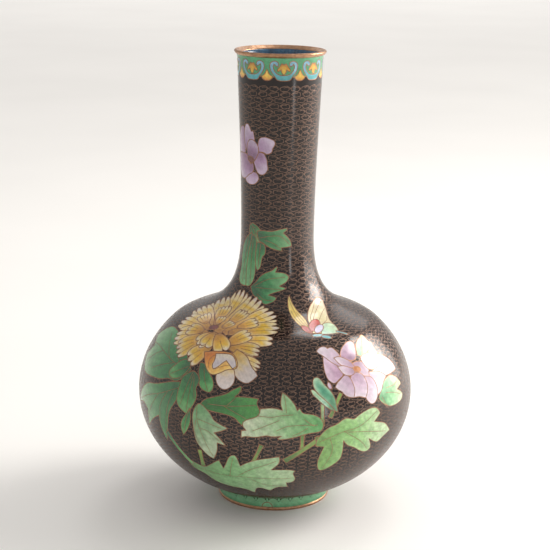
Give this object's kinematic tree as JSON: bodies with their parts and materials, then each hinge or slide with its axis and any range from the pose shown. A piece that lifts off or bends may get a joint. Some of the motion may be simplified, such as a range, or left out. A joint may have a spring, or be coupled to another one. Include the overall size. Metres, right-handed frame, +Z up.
{
  "type": "cloisonne vase",
  "caption": "Bottle vase with a round bowl, long neck and flared rim, copper covered in wired enamel cells; holds stems or stands as an ornament.",
  "frame": {"origin": "centre of the foot, on the surface the vase stands on", "axes": "+Z up the vase's axis; the decorated front faces -Y and +X is to its right"},
  "size_m": [0.188, 0.188, 0.31],
  "materials": {
    "copper": "bare copper",
    "gilt_copper": "worn gilt copper",
    "wire_copper": "fine gilt copper wire",
    "blue_enamel": "glossy counter enamel",
    "black_enamel": "polished enamel",
    "green_enamel": "polished enamel",
    "turquoise_enamel": "polished enamel",
    "yellow_enamel": "polished enamel",
    "orange_enamel": "polished enamel",
    "brown_enamel": "polished enamel",
    "pale_enamel": "polished enamel",
    "pink_enamel": "polished enamel",
    "cream_enamel": "polished enamel",
    "red_enamel": "polished enamel",
    "leaf_enamel": "polished enamel",
    "pale_green_enamel": "polished enamel",
    "olive_enamel": "polished enamel"
  },
  "bodies": {
    "root": {"foot_ring": "copper", "lower_bowl": "copper", "upper_bowl": "copper", "neck_tube": "copper", "rim_ring": "gilt_copper", "bowl_lining": "blue_enamel", "neck_lining": "blue_enamel", "base_enamel": "blue_enamel", "bowl_ground": "black_enamel", "neck_ground": "black_enamel", "foot_ground": "black_enamel", "collar_ground": "green_enamel", "foot_lappets_upper": "green_enamel", "foot_lappets_lower": "green_enamel", "foot_wires": "wire_copper", "collar_heads": "turquoise_enamel", "collar_palmettes": "yellow_enamel", "collar_pendants": "yellow_enamel", "collar_wires": "wire_copper", "yellow_peony_petals": "yellow_enamel", "yellow_peony_fold": "orange_enamel", "yellow_peony_fold_lining": "pale_enamel", "yellow_peony_heart": "brown_enamel", "yellow_peony_wires": "wire_copper", "pink_peony_petals": "pink_enamel", "pink_peony_heart": "orange_enamel", "pink_peony_wires": "wire_copper", "neck_peony_petals": "pink_enamel", "neck_peony_heart": "brown_enamel", "neck_peony_wires": "wire_copper", "butterfly_fore_wing": "yellow_enamel", "butterfly_hind_wing": "cream_enamel", "butterfly_red_marks": "red_enamel", "butterfly_lilac_mark": "pink_enamel", "butterfly_green_patch": "pale_green_enamel", "butterfly_body": "turquoise_enamel", "butterfly_wires": "wire_copper", "neck_leaves": "leaf_enamel", "left_leaves": "leaf_enamel", "middle_leaves": "leaf_enamel", "right_leaves": "leaf_enamel", "lower_leaves": "leaf_enamel", "pink_leaves": "pale_green_enamel", "stems": "olive_enamel", "bud_sepals": "leaf_enamel", "bud_tip": "pink_enamel", "leaf_wires": "wire_copper"}
  },
  "joints": []
}
